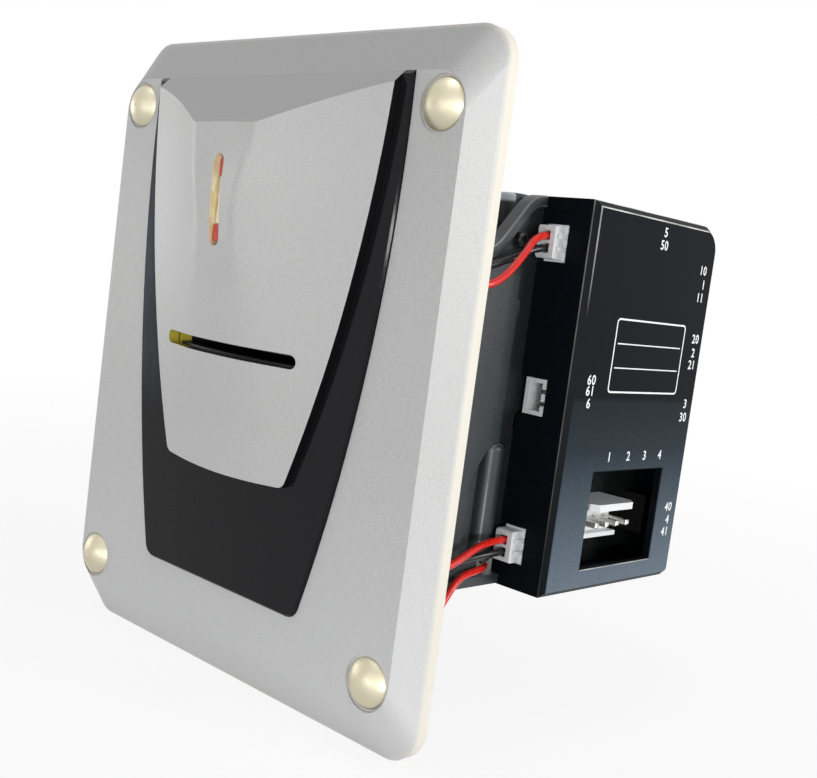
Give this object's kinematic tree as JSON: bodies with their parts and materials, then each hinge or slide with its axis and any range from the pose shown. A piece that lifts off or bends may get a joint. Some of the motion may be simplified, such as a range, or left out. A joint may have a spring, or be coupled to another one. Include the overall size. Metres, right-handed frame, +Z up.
{
  "type": "ticket dispenser",
  "caption": "Redemption ticket dispenser: a silver bezel with a raised outlet hood and slot, a feed mechanism behind it, and a thin control box on its right side.",
  "frame": {"origin": "centre of the bezel's back plane, which lies on the cabinet panel, and of the stud pattern", "axes": "+X right seen from the front, +Y back into the cabinet along the studs, +Z up"},
  "size_m": [0.1054, 0.1027, 0.132],
  "materials": {
    "silver_paint": "fine metallic silver paint over ivory plastic",
    "black_gloss": "polished black",
    "nickel": "nickel plate",
    "lamp_red": "clear red",
    "lens_cream": "milky cream",
    "board": "black solder resist",
    "chassis_grey": "fine-grained dark grey",
    "guide_black": "fine-grained black",
    "case_black": "satin black",
    "steel": "bright zinc",
    "shaft_steel": "ground steel",
    "rubber": "matt rubber",
    "gear_white": "natural acetal",
    "screw_black": "black oxide",
    "motor_can": "zinc-plated can",
    "connector_white": "natural nylon",
    "pin_tin": "tinned",
    "lead_red": "glossy red insulation",
    "lead_black": "glossy black insulation",
    "switch_black": "black switch body",
    "knob_white": "white knob"
  },
  "bodies": {
    "dispenser": {"bezel": "silver_paint", "hood_trim": "black_gloss", "carriage_bolts": "nickel", "indicator_board": "board", "indicator_lamps": "lamp_red", "indicator_lens": "lens_cream", "indicator_screws": "steel", "chassis_base": "chassis_grey", "side_frame_right": "chassis_grey", "side_frame_left": "chassis_grey", "chassis_cover": "chassis_grey", "flange_screws": "steel", "cover_screws": "screw_black", "foot_screws": "steel", "wall_screws": "screw_black", "guide_lower": "guide_black", "guide_upper": "guide_black", "guide_screws": "steel", "sensor_emitter": "guide_black", "sensor_receiver": "guide_black", "shaft_bushes": "guide_black", "motor": "motor_can", "motor_screws": "steel", "yoke_pin": "shaft_steel", "pinch_spring": "shaft_steel", "control_case": "case_black", "case_screws": "steel", "control_board": "board", "header_upper": "connector_white", "header_middle": "connector_white", "header_lower": "connector_white", "header_power": "connector_white", "header_pins": "pin_tin", "plug_upper": "connector_white", "plug_lower": "connector_white", "lead_upper_red": "lead_red", "lead_upper_black": "lead_black", "lead_lower_red": "lead_red", "lead_lower_black": "lead_black", "forward_switch": "switch_black", "reverse_switch": "switch_black", "slide_switches": "switch_black"},
    "drive": {"drive_shaft": "shaft_steel", "drive_hubs": "gear_white", "drive_tyres": "rubber", "drive_gear": "gear_white"},
    "pinion": {"motor_pinion": "gear_white"},
    "yoke": {"pinch_yoke": "gear_white", "pinch_shaft": "shaft_steel"},
    "rollers": {"pinch_rollers": "rubber"},
    "forward_cap": {"forward_button": "knob_white"},
    "reverse_cap": {"reverse_button": "knob_white"},
    "knob_1": {"slide_knob_1": "knob_white"},
    "knob_2": {"slide_knob_2": "knob_white"},
    "knob_4": {"slide_knob_4": "knob_white"}
  },
  "joints": [
    {"name": "drive_spin", "type": "hinge", "parent": "dispenser", "child": "drive", "pos_m": [0, 0.034, -0.0053], "axis": [1, 0, 0], "continuous": true},
    {"name": "motor_spin", "type": "hinge", "parent": "dispenser", "child": "pinion", "pos_m": [0, 0.0448, -0.02401], "axis": [1, 0, 0], "continuous": true},
    {"name": "yoke_lift", "type": "hinge", "parent": "dispenser", "child": "yoke", "pos_m": [0, 0.05, 0.014], "axis": [-1, 0, 0], "range_deg": [0, 2.5], "stiffness_Nm_per_rad": 0.06, "springref_deg": -22.92},
    {"name": "pinch_spin", "type": "hinge", "parent": "yoke", "child": "rollers", "pos_m": [0, 0.034, 0.008], "axis": [1, 0, 0], "continuous": true},
    {"name": "forward_press", "type": "slide", "parent": "dispenser", "child": "forward_cap", "axis": [0, 0, -1], "range_m": [0, 0.0004], "stiffness_N_per_m": 300, "springref_m": -0.0006},
    {"name": "reverse_press", "type": "slide", "parent": "dispenser", "child": "reverse_cap", "axis": [0, -1, 0], "range_m": [0, 0.0004], "stiffness_N_per_m": 300, "springref_m": -0.0006},
    {"name": "switch_1_slide", "type": "slide", "parent": "dispenser", "child": "knob_1", "axis": [0, 0, -1], "range_m": [0, 0.002]},
    {"name": "switch_2_slide", "type": "slide", "parent": "dispenser", "child": "knob_2", "axis": [0, 0, -1], "range_m": [0, 0.002]},
    {"name": "switch_4_slide", "type": "slide", "parent": "dispenser", "child": "knob_4", "axis": [0, 0, -1], "range_m": [0, 0.002]}
  ],
  "couplings": [
    {"joint": "motor_spin", "follows": "drive_spin", "ratio": -2.8571},
    {"joint": "pinch_spin", "follows": "drive_spin", "ratio": -1.6}
  ]
}
